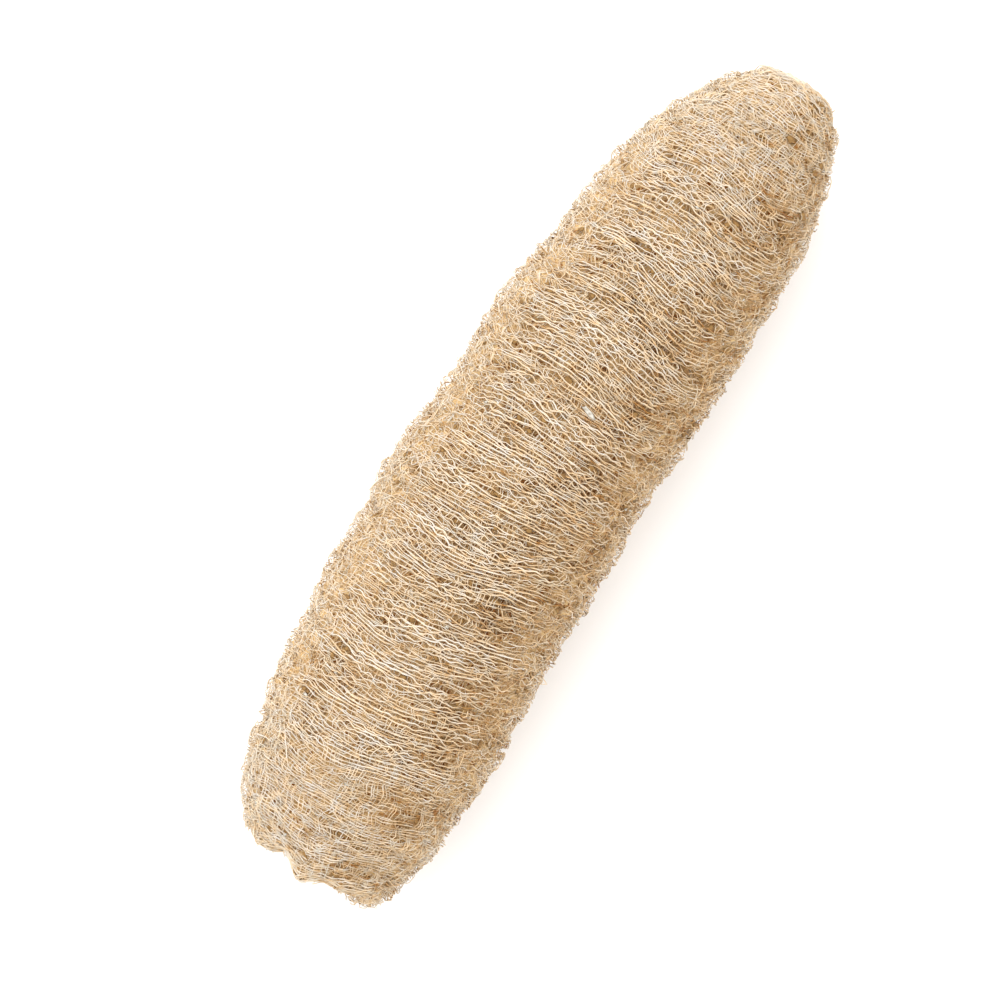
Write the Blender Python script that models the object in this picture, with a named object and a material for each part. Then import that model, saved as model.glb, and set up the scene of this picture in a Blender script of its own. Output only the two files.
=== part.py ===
"""A natural loofah sponge: the dried fibre skeleton of one luffa fruit, lying on its side.

The sponge grew in one piece, so it is one solid. Its skin is a raised net: strands that run round the
fruit, part and meet again, with deep cells between them, and five veins that run from end to end.
Lengths are in metres. +Y points to the end where the stalk was, +Z is up, and the underside lies at z = 0.
"""

import math

import bmesh
import bpy
import numpy as np

# Driving dimensions
LENGTH = 0.285
HEIGHT_TO_WIDTH = 0.94
BARREL_HALF_WIDTH = 0.0371  # the usual half-width of its middle, which sets how high it lies
COLUMNS = 40  # places round the fruit
STRANDS = 75  # strands from one end to the other, each with a row of cells beside it

# The outline from the hollow in the blossom end to the tip of the stalk end, as the fruit bowed in growing:
# place along the fruit, half-width there, and how far the middle lies to one side
OUTLINE = (
    (-0.1352, 0.0000, 0.0054),
    (-0.1359, 0.0070, 0.0054),
    (-0.1380, 0.0130, 0.0054),
    (-0.1390, 0.0190, 0.0054),
    (-0.1378, 0.0228, 0.0054),
    (-0.1354, 0.0253, 0.0054),
    (-0.1283, 0.0293, 0.0036),
    (-0.1212, 0.0318, 0.0030),
    (-0.1140, 0.0338, 0.0029),
    (-0.1069, 0.0343, 0.0027),
    (-0.0998, 0.0357, 0.0016),
    (-0.0855, 0.0377, 0.0005),
    (-0.0713, 0.0372, -0.0003),
    (-0.0570, 0.0378, -0.0012),
    (-0.0430, 0.0370, -0.0018),
    (-0.0285, 0.0378, -0.0025),
    (-0.0214, 0.0380, -0.0030),
    (-0.0072, 0.0376, -0.0023),
    (0.0071, 0.0364, -0.0022),
    (0.0213, 0.0367, -0.0017),
    (0.0356, 0.0372, -0.0017),
    (0.0498, 0.0366, -0.0011),
    (0.0641, 0.0349, 0.0002),
    (0.0783, 0.0341, 0.0008),
    (0.0926, 0.0332, 0.0016),
    (0.1068, 0.0307, 0.0018),
    (0.1140, 0.0283, 0.0022),
    (0.1211, 0.0256, 0.0033),
    (0.1282, 0.0225, 0.0042),
    (0.1353, 0.0173, 0.0054),
    (0.1401, 0.0120, 0.0060),
    (0.1420, 0.0060, 0.0060),
    (0.1425, 0.0000, 0.0060),
)

# Raised net
CELL_DEPTH = 0.0034
CROSSING_DEPTH = 0.0010
STRAND_SWAY = 0.31  # how far a strand leans to its neighbour, as a share of their spacing
STRAND_UNEVEN = 0.0004
END_CALM = 0.016  # half-width under which the net shrinks towards the poles

# Veins, as angles from the top towards +X
VEINS = (math.radians(-41), math.radians(40), math.radians(112), math.radians(184), math.radians(247))
FIRST_COLUMN = math.radians(4)
VEIN_SPREAD = math.radians(6.5)
VEIN_RISE = 0.0008

# Ragged rim of the blossom end, and the mouths of the three seed canals inside it
RIM_RADIUS = 0.018
RIM_SPREAD = 0.006
RIM_RAG = 0.0010
TOOTH = 0.0022
CANAL_COUNT = 3
CANAL_PLACE = 0.0085
CANAL_RADIUS = 0.0042
CANAL_DEPTH = 0.0030

# Flat spot that it rests on
FLAT_CUT = 0.0010
FLAT_HALF_ANGLE = math.radians(11)
FLAT_FROM = -0.072
FLAT_TO = 0.044
FLAT_FADE = 0.010

DENT = 0.0004  # height of the slow dents and swellings of the skin
SEED = 11


def clear_scene():
    for thing in list(bpy.data.objects):
        bpy.data.objects.remove(thing, do_unlink=True)


def smooth_outline(points, steps=24):
    """A smooth curve through the outline's points (Catmull-Rom), with its arc length."""
    corners = np.array(points)
    corners = np.vstack([2 * corners[0] - corners[1], corners, 2 * corners[-1] - corners[-2]])
    t = np.linspace(0, 1, steps, endpoint=False)[:, None]
    pieces = []
    for before, start, end, after in zip(corners, corners[1:], corners[2:], corners[3:]):
        pieces.append(
            0.5
            * (
                2 * start
                + (end - before) * t
                + (2 * before - 5 * start + 4 * end - after) * t**2
                + (3 * start - before - 3 * end + after) * t**3
            )
        )
    curve = np.vstack([*pieces, corners[-2:-1]])
    curve[:, 1] = np.maximum(curve[:, 1], 0)
    arc = np.concatenate([[0], np.cumsum(np.linalg.norm(np.diff(curve[:, :2], axis=0), axis=1))])
    return curve, arc


CURVE, ARC = smooth_outline(OUTLINE)
SPACING = ARC[-1] / (2 * STRANDS)  # from a strand to the middle of its cells


def on_outline(arc):
    """Place along the fruit, half-width, place of the middle, and the direction out of the skin there."""
    reach = SPACING / 2
    place, half_width, middle = (np.interp(arc, ARC, CURVE[:, i]) for i in range(3))
    run, rise = (
        np.interp(arc + reach, ARC, CURVE[:, i]) - np.interp(arc - reach, ARC, CURVE[:, i]) for i in range(2)
    )
    size = math.hypot(run, rise)
    return place, half_width, middle, (-rise / size, run / size)


def angle_gap(a, b):
    return (a - b + math.pi) % (2 * math.pi) - math.pi


def fade(distance, width):
    """1 at distance 0 or less, falling smoothly to 0 at width."""
    share = min(max(distance / width, 0), 1)
    return 1 - share * share * (3 - 2 * share)


def dents(place, angle):
    waves = (
        math.sin(place / 0.0170 + 2 * angle + 0.4)
        + math.sin(place / 0.0105 - 3 * angle + 2.0)
        + math.sin(place / 0.0075 + angle + 4.1)
    )
    return DENT * waves / 1.5


def wander(arc, angle):
    """Slow waves of the strands along the fruit, alike for neighbours so that they never cross."""
    return SPACING * (0.55 * math.sin(arc / 0.012 + 2 * angle) + 0.35 * math.sin(arc / 0.006 - 3 * angle))


def vein(angle):
    """1 on a vein and 0 away from all of them."""
    return max(math.exp(-((angle_gap(angle, middle) / VEIN_SPREAD) ** 2)) for middle in VEINS)


def flat_spot(place, angle):
    """1 on the flat spot of the underside and 0 away from it."""
    round_it = fade(abs(angle_gap(angle, math.pi)) - FLAT_HALF_ANGLE, FLAT_HALF_ANGLE / 2)
    past = max(FLAT_FROM - place, place - FLAT_TO)
    return round_it * fade(past, FLAT_FADE)


def blossom_end(place, half_width, angle):
    """How far the skin moves along the fruit at the blossom end: rim teeth out, seed canals in."""
    if place > -0.12:
        return 0.0
    on_rim = math.exp(-(((half_width - RIM_RADIUS) / RIM_SPREAD) ** 2))
    rag = RIM_RAG * (math.sin(5 * angle + 0.8) + math.sin(8 * angle + 2.5))
    rag += TOOTH * math.exp(-((angle_gap(angle, 0) / 0.25) ** 2))
    move = -on_rim * rag
    for canal in range(CANAL_COUNT):
        turn = 2 * math.pi * (canal + 0.5) / CANAL_COUNT
        across = half_width * math.sin(angle) - CANAL_PLACE * math.sin(turn)
        up = half_width * math.cos(angle) - CANAL_PLACE * math.cos(turn)
        move += CANAL_DEPTH * math.exp(-(across**2 + up**2) / CANAL_RADIUS**2)
    return move


def skin_point(row, column, unevenness):
    """The point of one row and column: odd rows are strands, even rows are the cells between them."""
    angle = FIRST_COLUMN + 2 * math.pi * column / COLUMNS
    arc = row * SPACING
    half_width = on_outline(arc)[1]
    calm = min(half_width / END_CALM, 1)
    strand = row % 2 == 1
    if strand:
        side = 1 if (column + row // 2) % 2 else -1
        sway = 2 * SPACING * STRAND_SWAY * (0.7 + 0.3 * unevenness[row, column])
        arc += calm * side * sway
        depth = STRAND_UNEVEN * (1 - unevenness[row, column]) / 2
    else:
        meets = (column + row // 2) % 2 == 1
        depth = CROSSING_DEPTH if meets else CELL_DEPTH * (0.8 + 0.2 * unevenness[row, column])
    arc += calm * wander(arc, angle)
    on_vein = vein(angle)
    depth *= (0.35 + 0.65 * calm) * (1 - 0.75 * on_vein)
    place, half_width, middle, out = on_outline(arc)
    flat = flat_spot(place, angle)
    lift = -depth * (1 - flat) + calm * (VEIN_RISE * on_vein + dents(place, angle) * (1 - flat))
    place_out = place + out[0] * lift + blossom_end(place, half_width, angle)
    width_out = half_width + out[1] * lift
    x = middle + width_out * math.sin(angle)
    z = HEIGHT_TO_WIDTH * width_out * math.cos(angle)
    return x, place_out, z


def sponge_mesh(material):
    """A sphere whose rings and segments are drawn out over the fruit's skin."""
    rows = 2 * STRANDS
    unevenness = np.random.default_rng(SEED).uniform(-1, 1, (rows + 1, COLUMNS))
    shape = bmesh.new()
    bmesh.ops.create_uvsphere(shape, u_segments=COLUMNS, v_segments=rows, radius=1)
    for vert in shape.verts:
        row = round(rows * math.acos(max(-1, min(1, -vert.co.z))) / math.pi)
        column = round(COLUMNS * math.atan2(vert.co.y, vert.co.x) / (2 * math.pi)) % COLUMNS
        vert.co = skin_point(row, column if 0 < row < rows else 0, unevenness)
    floor = HEIGHT_TO_WIDTH * (BARREL_HALF_WIDTH - FLAT_CUT)
    for vert in shape.verts:
        vert.co.z = max(vert.co.z + floor, 0)
    low = [min(vert.co[axis] for vert in shape.verts) for axis in range(2)]
    high = [max(vert.co[axis] for vert in shape.verts) for axis in range(2)]
    to_length = LENGTH / (high[1] - low[1])
    for vert in shape.verts:
        vert.co.x -= (low[0] + high[0]) / 2
        vert.co.y -= (low[1] + high[1]) / 2
        vert.co *= to_length
    bmesh.ops.triangulate(shape, faces=shape.faces, quad_method="SHORT_EDGE")
    bmesh.ops.recalc_face_normals(shape, faces=shape.faces)
    mesh = bpy.data.meshes.new("loofah_sponge")
    shape.to_mesh(mesh)
    shape.free()
    mesh.materials.append(material)
    mesh.shade_smooth()
    mesh.set_sharp_from_angle(angle=math.radians(35))
    return mesh


def luffa_fibre():
    """Dried plant fibre: pale straw, matt, with the faint sheen of cellulose."""
    material = bpy.data.materials.new("luffa_fibre")
    material.use_nodes = True
    shader = material.node_tree.nodes["Principled BSDF"]
    shader.inputs["Base Color"].default_value = (0.64, 0.48, 0.31, 1)
    shader.inputs["Roughness"].default_value = 0.75
    shader.inputs["Metallic"].default_value = 0.0
    return material


def main():
    clear_scene()
    sponge = bpy.data.objects.new("loofah_sponge", sponge_mesh(luffa_fibre()))
    parts = bpy.data.collections.new("natural_loofah")
    bpy.context.scene.collection.children.link(parts)
    parts.objects.link(sponge)


main()
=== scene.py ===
"""A natural loofah sponge lying on a pale floor, seen square from above.

The sponge is dressed fibre by fibre. Every fibre runs on the same form as the solid that it replaces:
a place on the fruit is its arc along the outline, its angle round the fruit (0 on top, towards +X) and
its depth under the skin. Lengths are in metres.
"""

import math

import bpy
import numpy as np
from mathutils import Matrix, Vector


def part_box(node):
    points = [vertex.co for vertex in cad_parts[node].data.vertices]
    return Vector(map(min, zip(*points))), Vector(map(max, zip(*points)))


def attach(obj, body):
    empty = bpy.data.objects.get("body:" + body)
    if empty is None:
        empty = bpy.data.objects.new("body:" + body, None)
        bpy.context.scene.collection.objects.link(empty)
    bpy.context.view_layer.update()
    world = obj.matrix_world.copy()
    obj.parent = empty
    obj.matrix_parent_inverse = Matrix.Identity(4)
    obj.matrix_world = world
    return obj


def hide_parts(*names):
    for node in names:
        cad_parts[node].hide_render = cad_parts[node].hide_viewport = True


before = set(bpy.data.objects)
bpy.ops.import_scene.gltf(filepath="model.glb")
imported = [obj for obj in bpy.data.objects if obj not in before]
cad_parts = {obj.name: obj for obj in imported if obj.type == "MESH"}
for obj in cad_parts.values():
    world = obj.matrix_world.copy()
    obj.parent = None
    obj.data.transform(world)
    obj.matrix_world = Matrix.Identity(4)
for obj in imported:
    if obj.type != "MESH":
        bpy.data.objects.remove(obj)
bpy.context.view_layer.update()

# Camera: square above the sponge, which lies slantwise in the picture with its stalk end up and right.
# A long lens, because the outline shows hardly any perspective.
LOOK_AT = (-0.0030, -0.0138)
OUTLINE_HEIGHT = 0.036
FRAME_WIDTH = 0.3026
CAMERA_DISTANCE = 1.3
LEAN = math.radians(32.17)

camera = bpy.data.objects.new("camera", bpy.data.cameras.new("camera"))
camera.location = (*LOOK_AT, OUTLINE_HEIGHT + CAMERA_DISTANCE)
camera.rotation_euler = (0, 0, LEAN)
camera.data.lens = camera.data.sensor_width * CAMERA_DISTANCE / FRAME_WIDTH
camera.data.clip_end = 20
bpy.context.scene.collection.objects.link(camera)
bpy.context.scene.camera = camera
bpy.context.scene.view_settings.view_transform = "Standard"


# Floor and light: a white studio sweep, lit evenly from all round by the sky of a light tent,
# with one large soft lamp from the upper left of the picture.
FLOOR_REACH = 3.0
FLOOR_WHITE = "FDFDFD"
TENT_STRENGTH = 1.46
TENT_COLOUR = "FFFDFB"
LAMP_SIDE = 1.6
LAMP_POWER = 15
LAMP_COLOUR = "FDFDFF"
LAMP_PLACE = (-0.9, 0.5, 1.3)


def linear(sheet_colour, alpha=1.0):
    """A colour written as sRGB hex, turned to the linear values that a shader takes."""
    shares = [int(sheet_colour[i : i + 2], 16) / 255 for i in (0, 2, 4)]
    return [s / 12.92 if s <= 0.04045 else ((s + 0.055) / 1.055) ** 2.4 for s in shares] + [alpha]


def add_node(tree, kind, sockets=None, **settings):
    """Adds a node, makes its settings, and gives each named or numbered input its value or its link."""
    node = tree.nodes.new(kind)
    for name, value in settings.items():
        setattr(node, name, value)
    for socket, value in (sockets or {}).items():
        if isinstance(value, bpy.types.NodeSocket):
            tree.links.new(value, node.inputs[socket])
        else:
            node.inputs[socket].default_value = value
    return node


def new_material(name):
    material = bpy.data.materials.new(name)
    material.use_nodes = True
    return material, material.node_tree, material.node_tree.nodes["Principled BSDF"]


# Matt white painted board: it gives a clean white ground with only the softest shade under the sponge.
board, _, board_shader = new_material("matt_white_board")
board_shader.inputs["Base Color"].default_value = linear(FLOOR_WHITE)
board_shader.inputs["Roughness"].default_value = 0.9
board_shader.inputs["Specular IOR Level"].default_value = 0.0

floor_mesh = bpy.data.meshes.new("floor")
corners = [(x * FLOOR_REACH, y * FLOOR_REACH, 0) for x, y in ((-1, -1), (1, -1), (1, 1), (-1, 1))]
floor_mesh.from_pydata(corners, [], [(0, 1, 2, 3)])
floor_mesh.materials.append(board)
floor = bpy.data.objects.new("floor", floor_mesh)
bpy.context.scene.collection.objects.link(floor)

tent = bpy.data.worlds.new("light_tent")
tent.use_nodes = True
tent.node_tree.nodes["Background"].inputs["Color"].default_value = linear(TENT_COLOUR)
tent.node_tree.nodes["Background"].inputs["Strength"].default_value = TENT_STRENGTH
bpy.context.scene.world = tent

lamp = bpy.data.objects.new("soft_lamp", bpy.data.lights.new("soft_lamp", "AREA"))
lamp.data.size = LAMP_SIDE
lamp.data.energy = LAMP_POWER
lamp.data.color = linear(LAMP_COLOUR)[:3]
lamp.location = LAMP_PLACE
lamp.rotation_euler = (-lamp.location).to_track_quat("-Z", "Y").to_euler()
bpy.context.scene.collection.objects.link(lamp)


# Ring strands: the outermost layer of the net. Pale, half-millimetre strands of dried vascular fibre run
# round the fruit, swing to and fro, grow into each other and part again, which leaves lens-shaped cells.
RING_PITCH = 0.00122
RING_RADIUS = 0.00024
RING_STEP = 0.00116
RING_DEPTH = 0.00035
RING_LIFT = 0.00028
FIRST_RING = 0.0120
LAST_RING = 0.0015  # from the tip
CELLS_ROUND = 38.5  # a half wave over each whole turn sets neighbours against each other, so that they meet
NARROW_WIDTH = 0.024  # half-width of the fruit under which fewer cells go round
NARROW_FEWER = 1.6  # how many times fewer
TIP_WIDTH = 0.014
TIP_CELLS = 14.5
MEET = 0.00044
MEET_MID = 0.75
MEET_VARIES = 0.45
MEET_RANGE = (0.1, 1.3)
SLOW_SWING = 0.0005
MID_SWING = 0.00016
CURL_SWING = 0.00040
CURL_ABOVE = 0.16  # the share of the curl that strands have everywhere
CURL_FLANK = 0.74  # and the share that they have on the flanks alone
END_STILL = 0.35  # the share by which strands swing less at the ends
HEAVE_SHARE = 0.8
SMALL_HEAVE_SHARE = 1.6
RADIUS_VARIES = 0.22
RADIUS_RANGE = (0.6, 1.5)
MATTED_THINNER = 0.34
LAYER_SHIFT = 0.37  # sets the random swings of one layer apart from those of the next
WINDING_SAMPLES = 6000

# The form of the fruit, as the solid has it: place along the fruit, half-width, place of the middle
HEIGHT_TO_WIDTH = 0.94
BARREL_HALF_WIDTH = 0.0371
FLAT_CUT = 0.0010
LYING_HEIGHT = HEIGHT_TO_WIDTH * (BARREL_HALF_WIDTH - FLAT_CUT)
FLOOR_GAP = 0.00002
DEEPER = 0.0005  # how far apart two points under the skin show which way is out
OUTLINE = (
    (-0.1352, 0.0000, 0.0054),
    (-0.1359, 0.0070, 0.0054),
    (-0.1380, 0.0130, 0.0054),
    (-0.1390, 0.0190, 0.0054),
    (-0.1378, 0.0228, 0.0054),
    (-0.1354, 0.0253, 0.0054),
    (-0.1283, 0.0293, 0.0036),
    (-0.1212, 0.0318, 0.0030),
    (-0.1140, 0.0338, 0.0029),
    (-0.1069, 0.0343, 0.0027),
    (-0.0998, 0.0357, 0.0016),
    (-0.0855, 0.0377, 0.0005),
    (-0.0713, 0.0372, -0.0003),
    (-0.0570, 0.0378, -0.0012),
    (-0.0430, 0.0370, -0.0018),
    (-0.0285, 0.0378, -0.0025),
    (-0.0214, 0.0380, -0.0030),
    (-0.0072, 0.0376, -0.0023),
    (0.0071, 0.0364, -0.0022),
    (0.0213, 0.0367, -0.0017),
    (0.0356, 0.0372, -0.0017),
    (0.0498, 0.0366, -0.0011),
    (0.0641, 0.0349, 0.0002),
    (0.0783, 0.0341, 0.0008),
    (0.0926, 0.0332, 0.0016),
    (0.1068, 0.0307, 0.0018),
    (0.1140, 0.0283, 0.0022),
    (0.1211, 0.0256, 0.0033),
    (0.1282, 0.0225, 0.0042),
    (0.1353, 0.0173, 0.0054),
    (0.1401, 0.0120, 0.0060),
    (0.1420, 0.0060, 0.0060),
    (0.1425, 0.0000, 0.0060),
)
SLOPE_REACH = 0.0011  # half the arc over which the outline's slope is taken
DENT = 0.0002  # of each of the dents' waves
DENT_WAVES = ((0.0170, 2, 0.4), (0.0105, -3, 2.0), (0.0075, 1, 4.1))  # length / 2 pi, waves round, phase
LUMP = 0.00019
SMALL_LUMPS = 0.6
LUMP_MOST = 0.0010
LIMB_LUMPS = 1.6
END_CALM = 0.016  # half-width under which dents and swings shrink towards the poles
RIM_RADIUS = 0.018
RIM_SPREAD = 0.006
RIM_RAG = 0.0010
RAG_WAVES = ((5, 0.8), (8, 2.5))  # waves round, phase
TOOTH = 0.0022
TOOTH_SPREAD = 0.25
BLOSSOM_FROM = -0.12
CANAL_COUNT = 3
CANAL_PLACE = 0.0085
CANAL_RADIUS = 0.0046
CANAL_DEPTH = 0.0085

# Where the net is open, curled or matted: gaps in degrees from the middle of a side, full within the first
# and gone past the second
LIMB_GAPS = (15, 27)
CURLY_GAPS = (30, 48)
MATTED_GAPS = (40, 58)
CURLY_ON_LIMB = 0.6
FLANK_OPEN = 0.0006
LIMB_OPEN = 0.0018
LIMB_SINK = 0.0004
FINE_FROM = 0.082
FINE_FADE = 0.036
END_CROWD = 0.24  # the share of their pitch by which rings lie closer at the ends

# How the hoops lean and bend, in metres along the fruit
LEAN_SPAN = 0.020
BLOSSOM_LEAN = 0.0082
BLOSSOM_TURN = math.radians(19)
STALK_LEAN = 0.0022
STALK_TURN = math.radians(20)
STALK_EASE = 0.6
STALK_EASE_FROM = 0.085
STALK_EASE_SPAN = 0.030
RIGHT_BEND = 0.010
RIGHT_FROM = 0.4
RIGHT_PLACE = 0.010
LEFT_BEND = 0.043
LEFT_FROM = 0.6
STALK_SHIFT = 0.007
STALK_REACH = 0.032

# The larger cells
CELL_COUNT = 700
CELL_FROM_POLE = 0.008
CELL_SIZE_RANGE = (0.6, 1.2)
CELL_SHORTEN = 0.6  # distances round the fruit count less, so cells are longer that way
CELL_REACH = 0.0020
CELL_PUSH = 0.00075
CELL_EDGE = 0.0002
CELL_STAIN = 0.28

# Colours of the fibre, the sizes of its patterns and what each adds to the tone
FIBRE_PALE = "EEE4D6"
FIBRE_STRAW = "E0CBAB"
FIBRE_BROWN = "B28549"
FIBRE_STAIN = "90551A"
FILM = "DED5C4"
COOL_TINT = "F5F8FC"
WARM_TINT = "FFF4E2"
TINTS_AT = (0.36, 0.64)
STRAW_AT = 0.38
BROWN_AT = 0.74
PATCH_SIZE = 0.0053
GRAIN_SIZE = 0.0011
SPOT_SIZE = 0.0024
FILM_SIZE = 0.0033
TINT_SIZE = 0.0021
PATCH_SHARE = 0.35
GRAIN_SHARE = 0.35
SPOT_SHARE = 0.34
SPOT_GAIN = 7.0
SPOT_OFFSET = -4.1
# The film thins towards +X, away from the lamp: painted light that leaves the lit side paler and greyer.
FILM_SHARE = 0.88
FILM_LESS_IN_SHADE = 0.56
FILM_GAIN = 6.0
FILM_OFFSET = -3.3
FILM_FADE_FROM = -0.02
FILM_FADE_SPAN = 0.05
# Painted shade: SIDE_TONE browns the +X side, away from the lamp, and LIMB_PALER eases it at the widest
# sides.
SIDE_TONE = 0.25
SIDE_FROM = -0.1
SIDE_SPAN = 0.80
LIMB_PALER = 0.6
PALE_SIDE_TONE = 0.03
END_TONE = 0.07
END_PLACE = 0.12
EDGE_TONE = 0.18
EDGE_FROM = 0.45
RING_TONE = 0.11
CURLY_TONE = 0.04
SHADE_TONE = 0.08
FINE_SHADE_TONE = 0.15
STAIN_TONE = 0.4


def smooth_outline(points, steps=24):
    """A smooth curve through the outline's points (Catmull-Rom), with its arc length."""
    corners = np.array(points)
    corners = np.vstack([2 * corners[0] - corners[1], corners, 2 * corners[-1] - corners[-2]])
    t = np.linspace(0, 1, steps, endpoint=False)[None, :, None]
    before, start, end, after = (corners[i : len(corners) - 3 + i, None] for i in range(4))
    curve = 0.5 * (
        2 * start
        + (end - before) * t
        + (2 * before - 5 * start + 4 * end - after) * t**2
        + (3 * start - before - 3 * end + after) * t**3
    )
    curve = np.vstack([curve.reshape(-1, 3), corners[-2:-1]])
    curve[:, 1] = np.maximum(curve[:, 1], 0)
    arc = np.concatenate([[0], np.cumsum(np.linalg.norm(np.diff(curve[:, :2], axis=0), axis=1))])
    return curve, arc


CURVE, ARC = smooth_outline(OUTLINE)
WHOLE_ARC = ARC[-1]


def place_at(arc):
    return np.interp(arc, ARC, CURVE[:, 0])


def half_width_at(arc):
    return np.interp(arc, ARC, CURVE[:, 1])


def turn_gap(a, b):
    return (a - b + math.pi) % (2 * math.pi) - math.pi


def smooth_step(share):
    """A share held between 0 and 1 and eased at both: three of its squares less two of its cubes."""
    share = np.clip(share, 0, 1)
    return share * share * (3 - 2 * share)


def blossom_end(place, half_width, angle):
    """How far the skin moves along the fruit at the blossom end: rim teeth out, seed canals in."""
    rag = RIM_RAG * sum(np.sin(count * angle + phase) for count, phase in RAG_WAVES)
    rag = rag + TOOTH * np.exp(-((turn_gap(angle, 0) / TOOTH_SPREAD) ** 2))
    move = -rag * np.exp(-(((half_width - RIM_RADIUS) / RIM_SPREAD) ** 2))
    for canal in range(CANAL_COUNT):
        turn = 2 * math.pi * (canal + 0.5) / CANAL_COUNT
        across = half_width * np.sin(angle) - CANAL_PLACE * math.sin(turn)
        up = half_width * np.cos(angle) - CANAL_PLACE * math.cos(turn)
        move = move + CANAL_DEPTH * np.exp(-(((across**2 + up**2) / CANAL_RADIUS**2) ** 2))
    return np.where(place < BLOSSOM_FROM, move, 0)


def random_field(seed, wavelength, waves_round, count=40):
    """A smooth random height over the skin, about 1 high: the sum of many sine waves that run along the
    fruit and close up round it, with lengths near the given wavelength and up to waves_round waves round."""
    draw = np.random.default_rng(seed)
    along = 2 * math.pi / (wavelength * draw.uniform(0.7, 1.8, count)) * draw.choice([-1, 1], count)
    around = draw.integers(-waves_round, waves_round + 1, count)
    phase = draw.uniform(0, 2 * math.pi, count)

    def height(arc, angle):
        total = np.zeros(np.broadcast(arc, angle).shape)
        for a, m, p in zip(along, around, phase):
            total += np.sin(a * arc + m * angle + p)
        return total * math.sqrt(2 / count)

    return height


def near_side(angle, gaps):
    """1 within the first gap from the middle of either side, 0 past the second, and a smooth step between."""
    gap = np.degrees(np.abs(np.abs(turn_gap(angle, 0)) - math.pi / 2))
    return smooth_step((gaps[1] - gap) / (gaps[1] - gaps[0]))


def limb(angle):
    """1 at the two widest sides of the fruit, where the outer net stands open, and 0 above and below."""
    return near_side(angle, LIMB_GAPS)


# Each field has its seed, the length of its waves and the most waves that go round.
lumps = random_field(9, 0.0105, 20)
small_lumps = random_field(10, 0.0048, 46)


def under_skin(arc, angle, depth):
    """Points under the skin. The outline at that arc, less the depth along its own outward direction, is
    turned by the angle about the fruit's bowed middle line, flattened a little and set on the floor."""
    place, half_width, middle = (np.interp(arc, ARC, CURVE[:, i]) for i in range(3))
    run = place_at(arc + SLOPE_REACH) - place_at(arc - SLOPE_REACH)
    rise = half_width_at(arc + SLOPE_REACH) - half_width_at(arc - SLOPE_REACH)
    size = np.hypot(run, rise)
    calm = np.minimum(half_width / END_CALM, 1)
    waves = sum(np.sin(place / length + count * angle + phase) for length, count, phase in DENT_WAVES)
    high = LUMP * (1 + LIMB_LUMPS * limb(angle))
    bumps = lumps(arc, angle) + SMALL_LUMPS * small_lumps(arc, angle)
    lump = LUMP_MOST * np.tanh(high / LUMP_MOST * bumps)
    lift = calm * (DENT * waves + lump) - depth
    y = place - rise / size * lift + blossom_end(place, half_width, angle)
    width = np.maximum(half_width + run / size * lift, 0)
    x = middle + width * np.sin(angle)
    z = HEIGHT_TO_WIDTH * width * np.cos(angle) + LYING_HEIGHT
    return np.stack([x, y, z], axis=-1)


# The solid is centred on its own box, so the form is too.
GRID = (400, 120)
grid_arc, grid_angle = np.meshgrid(np.linspace(0, WHOLE_ARC, GRID[0]), np.linspace(0, 2 * math.pi, GRID[1]))
grid = under_skin(grid_arc, grid_angle, 0).reshape(-1, 3)
box_low, box_high = (np.array(corner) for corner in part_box("loofah_sponge"))
TO_BOX = (box_low + box_high) / 2 - (grid.min(axis=0) + grid.max(axis=0)) / 2
TO_BOX[2] = 0


def curly(angle):
    """1 on the flanks, where strands curl in all directions, less at the widest sides, and 0 above and
    below, where they run in rings."""
    return near_side(angle, CURLY_GAPS) * (1 - CURLY_ON_LIMB * limb(angle))


def near_end(arc):
    """1 towards both ends, where the net is finer and closer, and 0 in between."""
    return smooth_step((np.abs(place_at(arc)) - FINE_FROM) / FINE_FADE)


def matted(arc, angle):
    """1 on the flanks and towards both ends, where the fibres are finer and matted, and 0 in between."""
    return np.maximum(near_side(angle, MATTED_GAPS), near_end(arc))


def open_side(arc, angle):
    """How much deeper the inner layers lie at the widest sides, more in some stretches than in others."""
    return (LIMB_SINK + LIMB_OPEN * (0.5 + 0.5 * np.tanh(2 * lumps(arc, angle)))) * limb(angle)


CELL_DRAW = np.random.default_rng(31)
CELL_ARCS = CELL_DRAW.uniform(CELL_FROM_POLE, WHOLE_ARC - CELL_FROM_POLE, CELL_COUNT)
CELL_ANGLES = CELL_DRAW.uniform(0, 2 * math.pi, CELL_COUNT)
CELL_SIZES = CELL_DRAW.uniform(*CELL_SIZE_RANGE, CELL_COUNT)


def open_cells(arc, angle):
    """The larger cells. First how far they push strands along the fruit, away from each cell's middle, then
    how much of their stain a point has: both are bell curves of its distance from the middle."""
    order = np.argsort(arc, axis=None)
    arcs = arc.reshape(-1)[order]
    angles = angle.reshape(-1)[order]
    push = np.zeros(arcs.shape)
    stain = np.zeros(arcs.shape)
    for place, turn, size in zip(CELL_ARCS, CELL_ANGLES, CELL_SIZES):
        near = slice(*np.searchsorted(arcs, (place - 3 * CELL_REACH, place + 3 * CELL_REACH)))
        off = arcs[near] - place
        around = CELL_SHORTEN * turn_gap(angles[near], turn) * half_width_at(place)
        bell_curve = np.exp(-(off**2 + around**2) / (size * CELL_REACH) ** 2)
        push[near] += size * CELL_PUSH * np.tanh(off / CELL_EDGE) * bell_curve
        stain[near] += CELL_STAIN * bell_curve
    back = np.argsort(order)
    return push[back].reshape(arc.shape), stain[back].reshape(arc.shape)


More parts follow.
